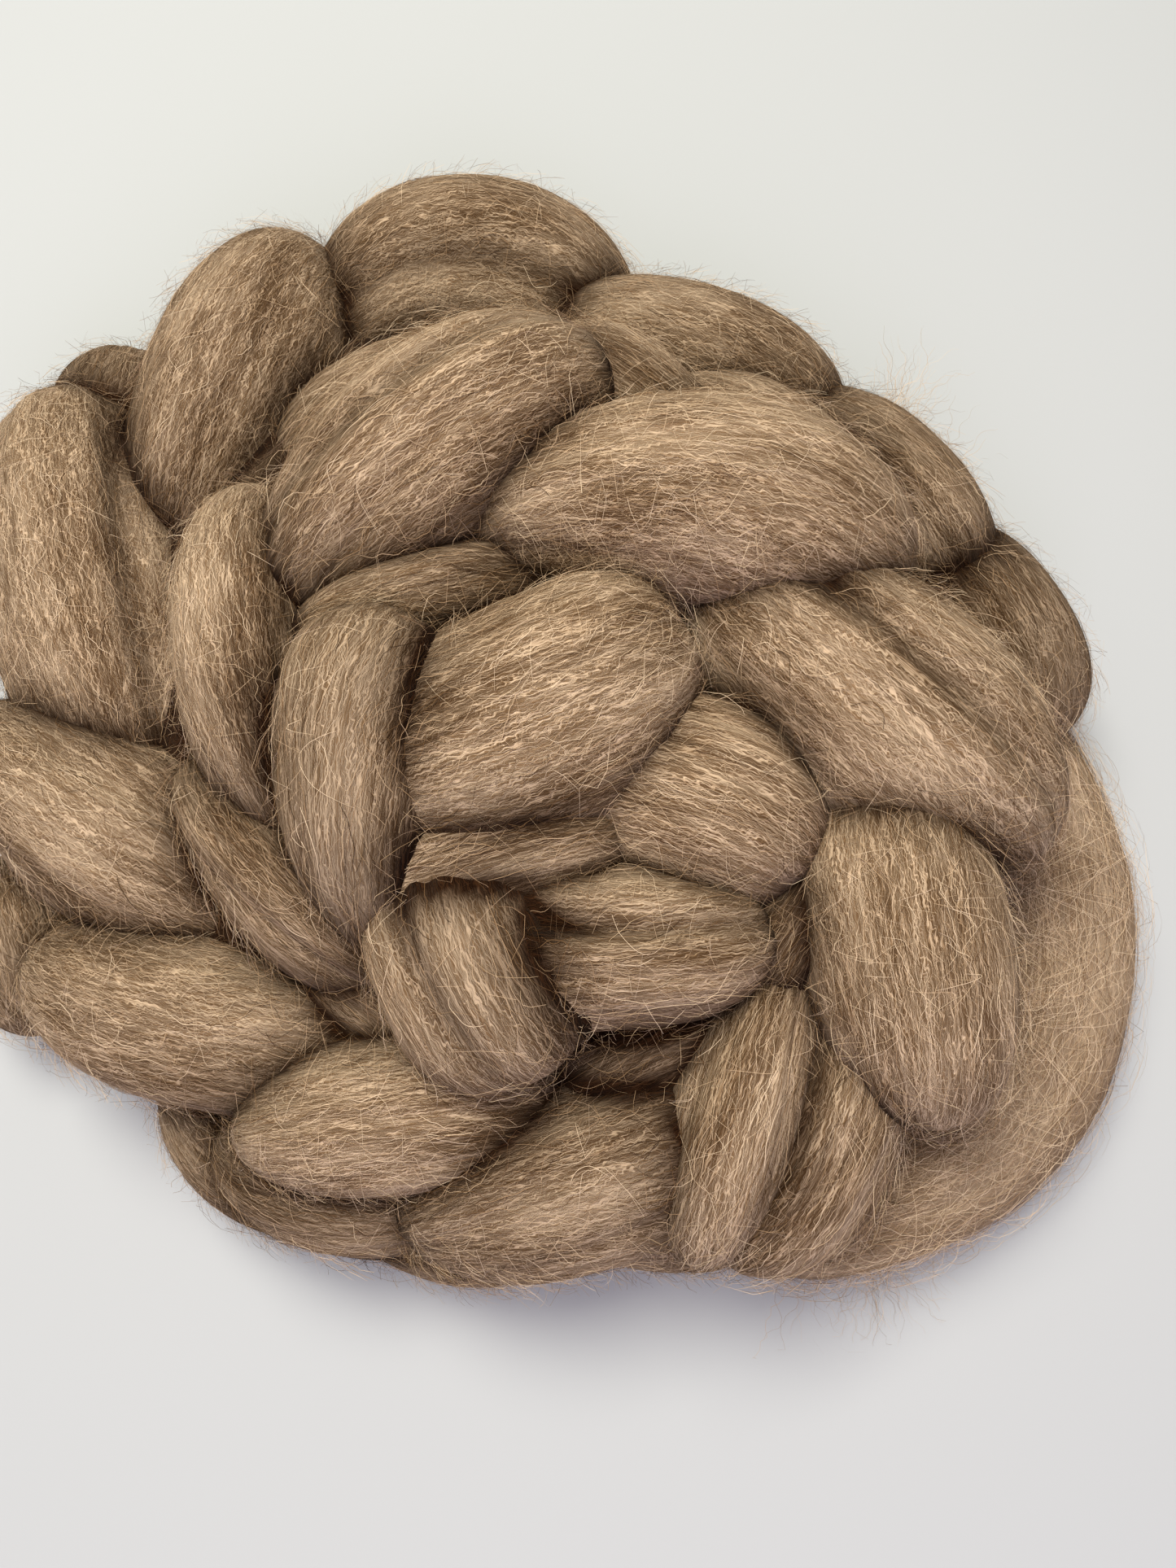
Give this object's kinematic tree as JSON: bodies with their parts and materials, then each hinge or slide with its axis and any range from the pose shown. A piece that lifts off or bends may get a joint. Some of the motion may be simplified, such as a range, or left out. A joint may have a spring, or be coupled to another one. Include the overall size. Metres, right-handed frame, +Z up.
{
  "type": "plaited bundle of wool top",
  "caption": "Soft length of combed wool fibre, chain-plaited and coiled into a low round bundle, with a smooth frayed loose end lying round one side.",
  "frame": {"origin": "on the floor, under the middle of the plaited coil's own box", "axes": "+Z up, out of the coil's face; +Y away from the viewer; +X to the viewer's right, where the loose end lies"},
  "size_m": [0.2708, 0.2674, 0.0995],
  "materials": {
    "plaited_wool": "soft matt wool, taupe brown, fine crimped fibres lying along each lobe with a pale fuzz over them",
    "loose_wool": "the same wool lying open and unplaited, a little paler and fuzzier, frayed at its tip"
  },
  "bodies": {
    "root": {"braided_top": "plaited_wool", "loose_end": "loose_wool"}
  },
  "joints": []
}
